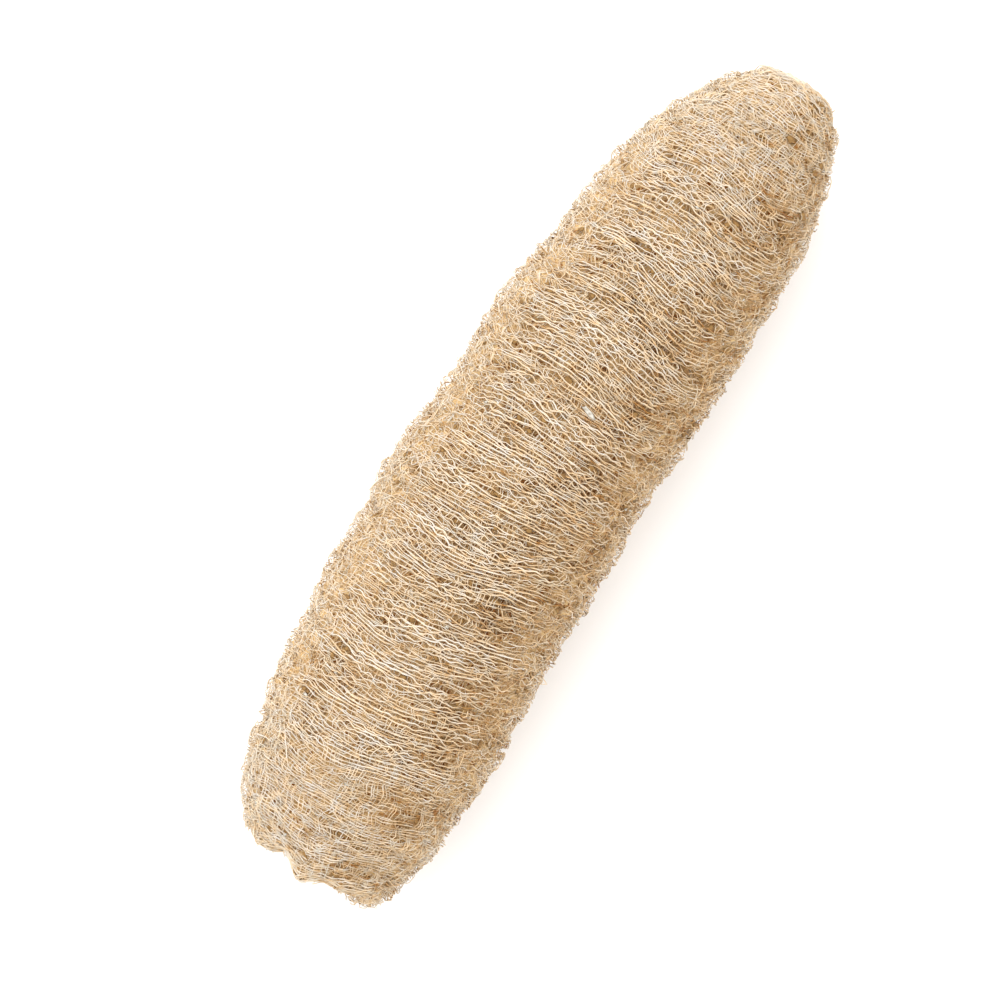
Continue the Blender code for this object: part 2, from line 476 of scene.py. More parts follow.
def painted_side_shade_and_tone(arc, angle):
    """Painted shade and other tone. Even on the -X side and the middle, browner on the +X flank, away from
    the lamp, as painted shade that eases off at the widest sides; a little paler towards both ends, and
    browner again where the skin stands upright."""
    # Painted shade: browner towards +X, away from the lamp.
    side = SIDE_TONE * smooth_step((np.sin(angle) - SIDE_FROM) / SIDE_SPAN) * (1 - LIMB_PALER * limb(angle))
    run = place_at(arc + SLOPE_REACH) - place_at(arc - SLOPE_REACH)
    upright = np.clip(1 - np.abs(run / (2 * SLOPE_REACH) * np.cos(angle)) / EDGE_FROM, 0, 1)
    end = END_TONE * (np.abs(place_at(arc)) / END_PLACE) ** 3
    return side + EDGE_TONE * upright**2 - PALE_SIDE_TONE - end


def fibre_material(name, pale, straw, brown, stain, patch_share=PATCH_SHARE):
    """Dried luffa fibre, a matt plant fibre of cellulose and lignin. Its tone attribute runs from pale outer
    strands (0) to brown (1); most pieces are given higher tones the deeper they lie, as painted shade and the
    brown of light scattered among the deeper fibres. Patches, a fine grain and brown spots add to the tone. A
    greyish film lies on parts of the fibres and thins towards +X, away from the lamp, which is painted light:
    the lit side is paler and greyer, the shaded side browner. The whole is tinted a little cooler or warmer
    from place to place."""
    material, tree, shader = new_material(name)
    place = add_node(tree, "ShaderNodeTexCoord").outputs["Object"]
    patterns = ((PATCH_SIZE, 3.0), (GRAIN_SIZE, 2.0), (SPOT_SIZE, 1.0), (FILM_SIZE, 2.0), (TINT_SIZE, 1.0))
    noises = []
    for size, detail in patterns:
        sockets = {"Vector": place, "Scale": 1 / size, "Detail": detail}
        noises.append(add_node(tree, "ShaderNodeTexNoise", sockets).outputs["Fac"])
    patches, grain, spots, film, tint = noises

    tone = add_node(tree, "ShaderNodeAttribute", attribute_name="tone").outputs["Fac"]
    for noise, share in ((patches, patch_share), (grain, GRAIN_SHARE)):
        around = add_node(tree, "ShaderNodeMath", {0: noise, 1: 0.5}, operation="SUBTRACT").outputs[0]
        sockets = {0: around, 1: share, 2: tone}
        tone = add_node(tree, "ShaderNodeMath", sockets, operation="MULTIPLY_ADD").outputs[0]
    sockets = {0: spots, 1: SPOT_GAIN, 2: SPOT_OFFSET}
    spotted = add_node(tree, "ShaderNodeMath", sockets, operation="MULTIPLY_ADD", use_clamp=True).outputs[0]
    sockets = {0: spotted, 1: SPOT_SHARE, 2: tone}
    tone = add_node(tree, "ShaderNodeMath", sockets, operation="MULTIPLY_ADD").outputs[0]
    ramp = add_node(tree, "ShaderNodeValToRGB", {"Fac": tone})
    ramp.color_ramp.elements[0].color = linear(pale)
    ramp.color_ramp.elements[1].color = linear(stain)
    ramp.color_ramp.elements.new(STRAW_AT).color = linear(straw)
    ramp.color_ramp.elements.new(BROWN_AT).color = linear(brown)

    sockets = {0: film, 1: FILM_GAIN, 2: FILM_OFFSET}
    filmed = add_node(tree, "ShaderNodeMath", sockets, operation="MULTIPLY_ADD", use_clamp=True).outputs[0]
    # Painted light: the film thins towards +X, away from the lamp, so the lit side is paler and greyer and
    # the shaded side browner.
    across = add_node(tree, "ShaderNodeSeparateXYZ", {"Vector": place}).outputs["X"]
    sockets = {0: across, 1: 1 / FILM_FADE_SPAN, 2: -FILM_FADE_FROM / FILM_FADE_SPAN}
    toward_shaded_side = add_node(tree, "ShaderNodeMath", sockets, operation="MULTIPLY_ADD", use_clamp=True).outputs[0]
    sockets = {0: toward_shaded_side, 1: -FILM_LESS_IN_SHADE, 2: FILM_SHARE}
    share = add_node(tree, "ShaderNodeMath", sockets, operation="MULTIPLY_ADD").outputs[0]
    share = add_node(tree, "ShaderNodeMath", {0: filmed, 1: share}, operation="MULTIPLY").outputs[0]
    sockets = {0: share, 6: ramp.outputs["Color"], 7: linear(FILM)}
    colour = add_node(tree, "ShaderNodeMix", sockets, data_type="RGBA").outputs[2]

    tints = add_node(tree, "ShaderNodeValToRGB", {"Fac": tint})
    for element, position, sheet_colour in zip(tints.color_ramp.elements, TINTS_AT, (COOL_TINT, WARM_TINT)):
        element.position = position
        element.color = linear(sheet_colour)
    sockets = {0: 1.0, 6: colour, 7: tints.outputs["Color"]}
    colour = add_node(tree, "ShaderNodeMix", sockets, data_type="RGBA", blend_type="MULTIPLY").outputs[2]
    tree.links.new(colour, shader.inputs["Base Color"])
    shader.inputs["Roughness"].default_value = 0.62
    shader.inputs["Specular IOR Level"].default_value = 0.3
    return material


def sponge_piece(name, points, faces, tones, material):
    """A mesh of the sponge with its tones, which rides on the sponge's body and stands for its solid. Its
    points are kept above the floor."""
    points[..., 2] = np.maximum(points[..., 2], FLOOR_GAP)
    mesh = bpy.data.meshes.new(name)
    mesh.from_pydata(points, [], faces)
    mesh.polygons.foreach_set("use_smooth", np.ones(len(faces), bool))
    mesh.attributes.new("tone", "FLOAT", "POINT").data.foreach_set("value", tones)
    mesh.materials.append(material)
    piece = bpy.data.objects.new(name, mesh)
    bpy.context.scene.collection.objects.link(piece)
    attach(piece, "root")
    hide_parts("loofah_sponge")
    return piece


def fibre_piece(name, arc, angle, depth, radius, tone, material, sides=3):
    """Closed tubes along fibres, one row of the arrays for each fibre. Each sample has a ring of points, at
    radius round the fibre's line, in the plane across it that holds the skin's outward direction."""
    line = under_skin(arc, angle, depth) + TO_BOX
    outward = line - under_skin(arc, angle, depth + DEEPER) - TO_BOX
    radius = np.broadcast_to(radius, arc.shape)
    line[..., 2] = np.maximum(line[..., 2], radius + FLOOR_GAP)
    ahead = np.gradient(line, axis=1)
    ahead /= np.linalg.norm(ahead, axis=-1, keepdims=True) + 1e-12
    outward -= (outward * ahead).sum(axis=-1, keepdims=True) * ahead
    outward /= np.linalg.norm(outward, axis=-1, keepdims=True) + 1e-12
    sideways = np.cross(ahead, outward)
    turn = (2 * math.pi * np.arange(sides) / sides)[:, None]
    ring = outward[..., None, :] * np.cos(turn) + sideways[..., None, :] * np.sin(turn)
    points = line[..., None, :] + radius[..., None, None] * ring

    fibres, samples = arc.shape
    index = np.arange(fibres * samples * sides).reshape(fibres, samples, sides)
    here, there = index[:, :-1], index[:, 1:]
    here_next, there_next = np.roll(here, -1, axis=2), np.roll(there, -1, axis=2)
    walls = [np.stack([here, here_next, there_next], -1), np.stack([here, there_next, there], -1)]
    fan = np.arange(1, sides - 1)
    start = [np.stack([index[:, 0, [0] * len(fan)], index[:, 0, fan + 1], index[:, 0, fan]], -1)]
    end = [np.stack([index[:, -1, [0] * len(fan)], index[:, -1, fan], index[:, -1, fan + 1]], -1)]
    faces = np.concatenate([part.reshape(-1, 3) for part in walls + start + end])

    tones = np.repeat(np.broadcast_to(tone, arc.shape).reshape(-1), sides).astype(np.float32)
    return sponge_piece(name, points.reshape(-1, 3), faces, tones, material)


def winding(pitch, step):
    """Arcs, and angles counted on from turn to turn, along one strand wound round the whole fruit in even
    steps. Its pitch is smaller towards the ends, and its length up to an arc is that of all rings before."""
    fine = np.linspace(FIRST_RING, WHOLE_ARC - LAST_RING, WINDING_SAMPLES)
    turns = np.diff(fine) / (pitch * (1 - END_CROWD * near_end(fine[1:])))
    length = np.concatenate([[0], np.cumsum(2 * math.pi * half_width_at(fine[1:]) * turns)])
    arc = np.interp(np.arange(0, length[-1], step), length, fine)
    return arc, 2 * math.pi * np.interp(arc, fine, np.concatenate([[0], np.cumsum(turns)]))


# Its tones are raised with depth by the pieces: painted shade and the brown of scattered light.
outer_fibre = fibre_material("luffa_fibre_painted_depth_shade", FIBRE_PALE, FIBRE_STRAW, FIBRE_BROWN, FIBRE_STAIN)

# The swings of the strands along the fruit, their strength and slip, their curl, their height and their tone
slow = random_field(1, 0.030, 6)
mid = random_field(2, 0.0065, 18)
strength = random_field(3, 0.014, 8)
slip = random_field(4, 0.010, 10)
curl = random_field(5, 0.0034, 46)
heave = random_field(6, 0.0060, 30)
small_heave = random_field(12, 0.0044, 38)
shade = random_field(7, 0.020, 5)
fine_shade = random_field(8, 0.0030, 25)


def leaning(arc, angle):
    """How far the hoops lie along the fruit from a square cut. They bend where the fruit grew faster: by a
    sine square round the fruit in the blossom half, by a wave with three crests in the stalk half, and
    towards both flanks by the square of what the sine has past a threshold."""
    place = place_at(arc)
    half = np.tanh(place / LEAN_SPAN)
    hoop = np.sin(angle + BLOSSOM_TURN) ** 2 - math.sin(BLOSSOM_TURN) ** 2
    ease = 1 - STALK_EASE * np.clip((place - STALK_EASE_FROM) / STALK_EASE_SPAN, 0, 1)
    crests = np.cos(3 * (angle + STALK_TURN)) * ease
    past_right = np.maximum(np.sin(angle) - RIGHT_FROM, 0) ** 2
    past_left = np.maximum(-np.sin(angle) - LEFT_FROM, 0) ** 2
    right = RIGHT_BEND * (0.5 + 0.5 * np.tanh((place - RIGHT_PLACE) / LEAN_SPAN)) * past_right
    left = LEFT_BEND * half * past_left
    blossom = BLOSSOM_LEAN * np.maximum(-half, 0) * hoop
    stalk = STALK_LEAN * np.maximum(half, 0) * crests
    return right + left + blossom + stalk


def round_the_stalk(arc, angle):
    """Rings at the stalk end circle the stalk's place, which lies under the tip. As flat polar coordinates
    round the tip, their points are moved down, fully at the tip and not at all beyond a reach."""
    from_tip = WHOLE_ARC - arc
    across = from_tip * np.sin(angle)
    up = from_tip * np.cos(angle) - STALK_SHIFT * smooth_step(1 - from_tip / STALK_REACH)
    return WHOLE_ARC - np.hypot(across, up), np.arctan2(across, up)


def ring_strands(pitch, step, cells_round, depth, radius, layer):
    """Arc, angle, depth, radius and tone along strands wound round the fruit. Slow and middling swings move
    neighbours together, a short wave in counter-phase makes them meet and part, and on the flanks a
    random curl is added. Nearer the tips fewer waves go round."""
    arc, turned = winding(pitch, step)
    half_width = half_width_at(arc)
    calm = np.minimum(half_width / END_CALM, 1)
    off = LAYER_SHIFT * layer
    curled = curly(turned)
    narrow_waves = np.where(half_width > TIP_WIDTH, 0.5 + cells_round // NARROW_FEWER, TIP_CELLS)
    waves = np.where(half_width > NARROW_WIDTH, cells_round, narrow_waves)
    late = slip(arc + off, turned)
    meet = MEET * np.clip(MEET_MID + MEET_VARIES * strength(arc + off, turned), *MEET_RANGE)
    push, stain = open_cells(arc, turned)

    sway = SLOW_SWING * slow(arc + off, turned)
    sway += MID_SWING * (1 + 0.5 * curled) * mid(arc + off, turned)
    counter = 0.65 * np.cos(waves * turned + 1.4 * late) + 0.5 * np.cos(1.4 * waves * turned - 2.2 * late)
    sway += meet * counter
    sway += CURL_SWING * (CURL_ABOVE + CURL_FLANK * curled) * curl(arc + off, turned)
    sway += push
    sway *= 1 - END_STILL * near_end(arc)

    heaved = HEAVE_SHARE * heave(arc + off, turned)
    heaved += SMALL_HEAVE_SHARE * curled * small_heave(arc + off, turned)
    lies = depth + RING_LIFT * heaved
    lies += FLANK_OPEN * curled + (LIMB_SINK * limb(turned) if layer == 0 else open_side(arc, turned))
    thick = radius * np.clip(1 + RADIUS_VARIES * strength(arc * 1.7 + off, turned), *RADIUS_RANGE)
    thick *= 1 - MATTED_THINNER * matted(arc, turned)
    tone = RING_TONE + CURLY_TONE * curled + SHADE_TONE * shade(arc, turned)
    tone += FINE_SHADE_TONE * fine_shade(arc, turned) + painted_side_shade_and_tone(arc, turned) + STAIN_TONE * stain
    arc, turned = round_the_stalk(arc + calm * (sway + leaning(arc, turned)), turned)
    return arc, turned, lies, thick, tone


strand = ring_strands(RING_PITCH, RING_STEP, CELLS_ROUND, RING_DEPTH, RING_RADIUS, 0)
halfway = len(strand[0]) // 2
halves = {"ring_strands_blossom_half": slice(0, halfway + 1), "ring_strands_stalk_half": slice(halfway, None)}
for name, part in halves.items():
    arc, turned, lies, thick, tone = (values[None, part] for values in strand)
    fibre_piece(name, arc, turned, lies, thick, tone, outer_fibre)


# Second rings: a looser layer of the same strands just under the first, seen through its cells.
SECOND_PITCH = 0.0015
SECOND_STEP = 0.00168
SECOND_CELLS = 34.5
SECOND_RADIUS = 0.00024
SECOND_DEPTH = 0.00080
SECOND_CURL = 0.0003
SECOND_TONE = 0.10

strand = ring_strands(SECOND_PITCH, SECOND_STEP, SECOND_CELLS, SECOND_DEPTH, SECOND_RADIUS, 1)
arc, turned, lies, thick, tone = (values[None] for values in strand)
lies = lies + SECOND_CURL * curl(arc, turned)
# SECOND_TONE makes them browner than the first rings: painted shade for their depth.
fibre_piece("second_rings", arc, turned, lies, thick, tone + SECOND_TONE, outer_fibre)


# Long strands: fine fibres that run from end to end under the rings and show as short combs in the cells.
# Towards the ends they crowd together, so only every fourth one runs on nearly to the poles.
LONG_COUNT = 184
LONG_STEP = 0.0027
LONG_RADIUS = 0.00015
LONG_DEPTH = 0.0012
LONG_SWING = 0.0006
LONG_STOPS = (0.013, 0.032, 0.020, 0.032)  # from either pole, for every four neighbours
LONG_HEAVE = 0.0009
LONG_HEAVE_LOST = 0.0005  # of it, at the ends
LONG_RISE = 0.0007  # at the ends, where the strands come up between the rings
LONG_SINK = 0.0008  # on the flanks
# LONG_TONE, above the rings' tone, paints shade for the depth of the long strands.
LONG_TONE = 0.18
LONG_TONES_VARY = 0.15
LONG_UNEVEN = 0.8  # of their spacing
LONG_THICKNESS = (0.7, 1.4)

number = np.arange(LONG_COUNT)
reach_in = np.array(LONG_STOPS)[number % len(LONG_STOPS)][:, None]
along = np.linspace(0, 1, int(WHOLE_ARC / LONG_STEP))[None]
arc = reach_in + (WHOLE_ARC - 2 * reach_in) * along
draw = np.random.default_rng(48)
angle = (2 * math.pi * (number + draw.uniform(-LONG_UNEVEN, LONG_UNEVEN, LONG_COUNT)) / LONG_COUNT)[:, None]
angle = angle + LONG_SWING * (slip(arc * 2, angle) + 0.8 * mid(arc, angle)) / half_width_at(arc)
lies = LONG_DEPTH + (LONG_HEAVE - LONG_HEAVE_LOST * near_end(arc)) * heave(arc, angle)
lies += LONG_SINK * curly(angle) + open_side(arc, angle) - LONG_RISE * near_end(arc)
thick = LONG_RADIUS * draw.uniform(*LONG_THICKNESS, (LONG_COUNT, 1))
tone = LONG_TONE + LONG_TONES_VARY * draw.uniform(-1, 1, (LONG_COUNT, 1)) + painted_side_shade_and_tone(arc, angle)
fibre_piece("long_strands", arc, angle, lies, thick, tone, outer_fibre)


# Felt: the mass of the net between the skin and the inside. Fine fibres wander in all directions, thinner
# near the skin and coarser further in.
FELT_RISE = 0.0005
FELT_WAVE = 0.15  # of the layer's thickness, by which each fibre rises and sinks
FELT_TONES_VARY = 0.12
MATTED_FINER = 0.3
MATTED_PALER = 0.6
ALONG_RINGS = 0.35  # how much of their first heading turns towards the rings
POLE_GAP = 0.003
LEAST_WIDTH = 0.004
FELT_PATCH_SHARE = 0.7


def wandering(seed, count, samples, step, bend):
    """Arcs and angles along fibres that start anywhere on the skin and turn a little at random with every
    step."""
    draw = np.random.default_rng(seed)
    skin_share = np.cumsum(half_width_at(ARC)) / half_width_at(ARC).sum()
    start = np.interp(draw.uniform(0, 1, count), skin_share, ARC)
    turns = draw.normal(0, bend, (count, samples)) + draw.normal(0, bend, (count, 1))
    heading = draw.uniform(0, 2 * math.pi, (count, 1))
    heading = heading - ALONG_RINGS * np.sin(2 * heading) + np.cumsum(turns, axis=1)
    arc = start[:, None] + np.cumsum(step * np.sin(heading), axis=1)
    arc = np.clip(arc, POLE_GAP, WHOLE_ARC - POLE_GAP)
    width = np.maximum(half_width_at(arc), LEAST_WIDTH)
    angle = draw.uniform(0, 2 * math.pi, (count, 1)) + np.cumsum(step * np.cos(heading) / width, axis=1)
    return arc, angle, draw


def felt(name, seed, count, samples, step, bend, depths, radius, tones):
    """A layer of wandering fibres between two depths, each rising and sinking in a sine as it goes. At the
    widest sides, where the outer net is open, the layer lies deeper. On the flanks and towards the ends its
    fibres are thinner and paler. The deeper a fibre lies in the layer, the browner its tone: painted shade."""
    arc, angle, draw = wandering(seed, count, samples, step, bend)
    level = draw.uniform(0, 1, (count, 1))
    wave = np.sin(np.linspace(0, 5, samples)[None] + draw.uniform(0, 2 * math.pi, (count, 1)))
    mat = matted(arc, angle)
    share = FELT_WAVE + (1 - 2 * FELT_WAVE) * level + FELT_WAVE * wave
    lies = depths[0] + (depths[1] - depths[0]) * share
    lies = lies + open_side(arc, angle) - FELT_RISE * mat
    tone = tones[0] + (tones[1] - tones[0]) * level * (1 - MATTED_PALER * mat) + painted_side_shade_and_tone(arc, angle)
    tone += FELT_TONES_VARY * draw.uniform(-1, 1, (count, 1)) + open_cells(arc, angle)[1]
    fibre_piece(name, arc, angle, lies, radius * (1 - MATTED_FINER * mat), tone, felt_fibre_shaded)


# The felt's tones rise with depth: painted shade within the net.
felt_fibre_shaded = fibre_material(
    "felt_fibre_painted_depth_shade", "ECDFC8", "DDBE92", "AA773F", "8A5018", FELT_PATCH_SHARE
)

# The middle felt lies deeper and is given browner tones than the outer felt: painted shade.
felt(
    "outer_felt", seed=21, count=2300, samples=8, step=0.0014, bend=0.30,
    depths=(0.0008, 0.0019), radius=0.00021, tones=(0.00, 0.14),
)
felt(
    "middle_felt", seed=24, count=1000, samples=13, step=0.0024, bend=0.22,
    depths=(0.0022, 0.0044), radius=0.00034, tones=(0.26, 0.60),
)


# Inner net: what is left of the net towards the seed canals, packed so close that only its outside shows
# between the fibres. Its strands are drawn by colour, pale on brown, and the brown between them is painted
# shade.
INNER_DEPTH = 0.0044
INNER_RISE = 0.0020
INNER_RELIEF = 0.0006
INNER_LIMB = 0.6
INNER_COLUMNS = 108
INNER_ROWS = 148
INNER_END = 0.0045
INNER_PALE = "D9BA88"
INNER_BROWN = "8A5520"
NET_WIDE = 0.0026
NET_FINE = 0.0014
STRAND_EDGE = 0.03
CELL_BROWN = 0.24
TONE_SHARE = 0.12
CURLY_PALER = 0.6


def shaded_net(name, pale, brown):
    """The deep net of cellulose strands, matt. Voronoi cells of two sizes give pale
    strands, which darken within 0.3 to 0.6 mm to the brown of the cells: painted shade between the deep
    strands."""
    material, tree, shader = new_material(name)
    place = add_node(tree, "ShaderNodeTexCoord").outputs["Object"]
    edges = []
    for width in (NET_WIDE, NET_FINE):
        sockets = {"Vector": place, "Scale": 1 / width}
        cells = add_node(tree, "ShaderNodeTexVoronoi", sockets, feature="DISTANCE_TO_EDGE")
        edges.append(cells.outputs["Distance"])
    nearest = add_node(tree, "ShaderNodeMath", {0: edges[0], 1: edges[1]}, operation="MINIMUM").outputs[0]
    tone = add_node(tree, "ShaderNodeAttribute", attribute_name="tone").outputs["Fac"]
    sockets = {0: tone, 1: TONE_SHARE, 2: nearest}
    darker = add_node(tree, "ShaderNodeMath", sockets, operation="MULTIPLY_ADD").outputs[0]
    ramp = add_node(tree, "ShaderNodeValToRGB", {"Fac": darker})
    for element, position, colour in zip(ramp.color_ramp.elements, (STRAND_EDGE, CELL_BROWN), (pale, brown)):
        element.position = position
        element.color = linear(colour)
    tree.links.new(ramp.outputs["Color"], shader.inputs["Base Color"])
    shader.inputs["Roughness"].default_value = 0.8
    shader.inputs["Specular IOR Level"].default_value = 0.2
    return material


def inner_net(columns, rows):
    """Points, faces and tones of the closed form at a depth under the skin, raised and sunk by two random
    fields: rings of points at even arcs, and a point at each end."""
    along = np.linspace(INNER_END, WHOLE_ARC - INNER_END, rows)
    arc, angle = np.meshgrid(along, 2 * math.pi * np.arange(columns) / columns, indexing="ij")
    depth = INNER_DEPTH + INNER_RELIEF * (heave(arc, angle) + 0.7 * curl(arc, angle))
    depth += INNER_LIMB * LIMB_OPEN * limb(angle) - INNER_RISE * matted(arc, angle)
    points = under_skin(arc, angle, depth) + TO_BOX
    ends = points[[0, -1]].mean(axis=1)
    index = np.arange(rows * columns).reshape(rows, columns)
    here, there = index[:-1], index[1:]
    here_next, there_next = np.roll(here, -1, axis=1), np.roll(there, -1, axis=1)
    first = np.full(columns, index.size)
    faces = [
        np.stack([here, there, there_next], -1),
        np.stack([here, there_next, here_next], -1),
        np.stack([first, index[0], np.roll(index[0], -1)], -1),
        np.stack([first + 1, np.roll(index[-1], -1), index[-1]], -1),
    ]
    faces = np.concatenate([part.reshape(-1, 3) for part in faces])
    tones = painted_side_shade_and_tone(arc, angle) + open_cells(arc, angle)[1] - CURLY_PALER * curly(angle)
    tones = np.append(tones.reshape(-1), [0, 0]).astype(np.float32)
    return np.concatenate([points.reshape(-1, 3), ends]), faces, tones


points, faces, tones = inner_net(INNER_COLUMNS, INNER_ROWS)
# Its brown cells are painted shade between the deep strands.
painted_shade_net = shaded_net("inner_net_painted_shade", INNER_PALE, INNER_BROWN)
sponge_piece("inner_net", points, faces, tones, painted_shade_net)


# End felt: at both poles of the fruit the rings give way to a felt without direction. At the blossom end it
# fills the hollow round the mouths of the three seed canals, and at the stalk end it closes the tip.
END_SAMPLES = 9
END_STEP = 0.0010
END_BEND = 0.35
END_RADIUS = 0.00018
END_TONES_VARY = 0.2
DISH_COUNT = 420
DISH_SPREAD = 0.0085
DISH_DEPTH = (0.0002, 0.0022)
DISH_TONE = 0.25
TIP_COUNT = 200
TIP_SPREAD = 0.0050
TIP_DEPTH = (0.0004, 0.0014)
TIP_TONE = 0.14

draw = np.random.default_rng(46)
at_tip = np.arange(DISH_COUNT + TIP_COUNT)[:, None] >= DISH_COUNT
spread = np.where(at_tip, TIP_SPREAD, DISH_SPREAD)
heading = draw.uniform(0, 2 * math.pi, at_tip.shape)
heading = heading + np.cumsum(draw.normal(0, END_BEND, (len(at_tip), END_SAMPLES)), axis=1)
across = spread * draw.normal(0, 1, at_tip.shape) + np.cumsum(END_STEP * np.cos(heading), axis=1)
up = spread * draw.normal(0, 1, at_tip.shape) + np.cumsum(END_STEP * np.sin(heading), axis=1)
from_pole = np.hypot(across, up)
arc = np.where(at_tip, WHOLE_ARC - from_pole, from_pole)
angle = np.arctan2(across, up)
top, bottom = (np.where(at_tip, tip, dish) for tip, dish in zip(TIP_DEPTH, DISH_DEPTH))
lies = top + draw.uniform(0, 1, at_tip.shape) * (bottom - top)
tone = np.where(at_tip, TIP_TONE, DISH_TONE) + END_TONES_VARY * draw.uniform(-1, 1, at_tip.shape)
fibre_piece("end_felt", arc, angle, lies, END_RADIUS, tone, outer_fibre)


# Curls: short fibres that wind about at the surface of the flanks.
CURL_COUNT = 1900
CURL_SAMPLES = 9
CURL_STEP = 0.0008
CURL_BEND = 0.55
CURL_RADIUS = 0.00013
CURL_DEPTH = 0.0008
CURL_RISE = 0.0005
CURL_TONE = 0.20
CURL_TONES_VARY = 0.12
CURLS_ANYWHERE = 0.04  # the share of them that is kept
CURLS_ON_FLANKS = 0.9
CURLS_WHERE_MATTED = 0.15
CURL_HEIGHTS = (0.2, 1.0)

arc, angle, draw = wandering(23, CURL_COUNT, CURL_SAMPLES, CURL_STEP, CURL_BEND)
share = np.maximum(curly(angle), CURLS_WHERE_MATTED * matted(arc, angle))[:, 0]
kept = draw.uniform(0, 1, CURL_COUNT) < CURLS_ANYWHERE + CURLS_ON_FLANKS * share
arc = arc[kept]
angle = angle[kept]
rise = draw.uniform(*CURL_HEIGHTS, (kept.sum(), 1)) * np.sin(np.linspace(0, math.pi, CURL_SAMPLES))[None]
tone = CURL_TONE + CURL_TONES_VARY * draw.uniform(-1, 1, (kept.sum(), 1)) + painted_side_shade_and_tone(arc, angle)
fibre_piece("curls", arc, angle, CURL_DEPTH - CURL_RISE * rise, CURL_RADIUS, tone, outer_fibre)


# Edge lace: small open loops that stand on the rings along both widest sides. Light comes through between
# them, and they make the soft, beaded edge of the sponge.
LOOPS = 1000
LOOP_SAMPLES = 10
LOOP_SIZE = (0.0004, 0.0008)
LOOP_RADIUS = 0.00013
LOOP_DEPTH = (0.0004, 0.0012)
LOOP_SPREAD = 15  # degrees up and down from the middle of each side
LOOP_TILT = 0.4
LOOP_TURNS = (0.7, 1.1)
LOOP_LONGER = 1.2
LOOP_FLATTER = 0.5
LOOP_FROM_ENDS = (0.012, 0.006)
LOOP_TONE = 0.16
LOOP_TONES_VARY = 0.12

draw = np.random.default_rng(44)
side = draw.choice([-1, 1], (LOOPS, 1))
middle_angle = side * np.radians(90 + draw.normal(0, LOOP_SPREAD, (LOOPS, 1)))
middle_arc = draw.uniform(LOOP_FROM_ENDS[0], WHOLE_ARC - LOOP_FROM_ENDS[1], (LOOPS, 1))
first = np.array([1, 0, 0]) + LOOP_TILT * draw.normal(0, 1, (LOOPS, 1, 3))
second = np.array([0, 1, 0.3]) + LOOP_TILT * draw.normal(0, 1, (LOOPS, 1, 3))
turn = np.linspace(0, 1, LOOP_SAMPLES)[None] * draw.uniform(*LOOP_TURNS, (LOOPS, 1)) * 2 * math.pi
size = draw.uniform(*LOOP_SIZE, (LOOPS, 1))
loop = (size * np.cos(turn))[..., None] * first + (size * np.sin(turn))[..., None] * second
arc = middle_arc + LOOP_LONGER * loop[..., 0]
angle = middle_angle + loop[..., 1] / half_width_at(middle_arc)
lies = draw.uniform(*LOOP_DEPTH, (LOOPS, 1)) + LOOP_FLATTER * loop[..., 2]
tone = LOOP_TONE + LOOP_TONES_VARY * draw.uniform(-1, 1, (LOOPS, 1)) + painted_side_shade_and_tone(arc, angle)
# The lace's colours are greyer and less saturated than those of the other fibres.
greyish_fibre = fibre_material("greyish_luffa_fibre", "E4DBCC", "C9B699", "987A54", "845F32")
fibre_piece("edge_lace", arc, angle, lies, LOOP_RADIUS, tone, greyish_fibre)


# Stars: where a vein of the fruit ran, its branches leave as a star of stouter, paler strands that sink
# into the rings.
VEINS = tuple(math.radians(vein) for vein in (-42, 38, 112, 184, 247))
STARS = 14
SPOKES = 6
SPOKE_SAMPLES = 6
SPOKE_STEP = (0.0005, 0.0011)
SPOKE_DEPTH = (0.00005, 0.00065)
SPOKE_RADIUS = (0.00019, 0.00014)
SPOKE_UNEVEN = 0.4
SPOKE_BEND = 0.024
STAR_SPREAD = 0.0035
STAR_WIDER = 1.3
STAR_FROM_ENDS = (0.03, 0.02)
STAR_TONE = 0.17

draw = np.random.default_rng(41)
stars = (len(VEINS), STARS, 1, 1)
spokes = (len(VEINS), STARS, SPOKES, 1)
star_arc = draw.uniform(STAR_FROM_ENDS[0], WHOLE_ARC - STAR_FROM_ENDS[1], stars)
width = half_width_at(star_arc)
star_angle = np.array(VEINS)[:, None, None, None] + draw.normal(0, STAR_SPREAD, stars) / width
heading = 2 * math.pi * np.arange(SPOKES)[:, None] / SPOKES
heading = heading + draw.uniform(-SPOKE_UNEVEN, SPOKE_UNEVEN, spokes) + draw.uniform(0, 1, stars)
heading = heading + draw.normal(0, SPOKE_BEND, spokes) * np.arange(SPOKE_SAMPLES) ** 2
reach = draw.uniform(*SPOKE_STEP, spokes) * np.arange(SPOKE_SAMPLES)
arc = (star_arc + reach * np.sin(heading)).reshape(-1, SPOKE_SAMPLES)
angle = (star_angle + STAR_WIDER * reach * np.cos(heading) / width).reshape(-1, SPOKE_SAMPLES)
along = np.linspace(0, 1, SPOKE_SAMPLES)[None]
lies = SPOKE_DEPTH[0] + (SPOKE_DEPTH[1] - SPOKE_DEPTH[0]) * along**2
thick = SPOKE_RADIUS[0] + (SPOKE_RADIUS[1] - SPOKE_RADIUS[0]) * along
fibre_piece("vein_stars", arc, angle, lies, thick, STAR_TONE + painted_side_shade_and_tone(arc, angle), outer_fibre)


# Stray strands: single stouter strands that cross the rings at a slant, lie on them and sink in at both ends.
STRAYS = 44
STRAY_SAMPLES = 10
STRAY_STEP = 0.0013
STRAY_BEND = 0.07
STRAY_DEPTH = (0.0001, 0.0010)
STRAY_RADIUS = 0.00021
STRAY_TONE = 0.10
STRAY_TONES_VARY = 0.08

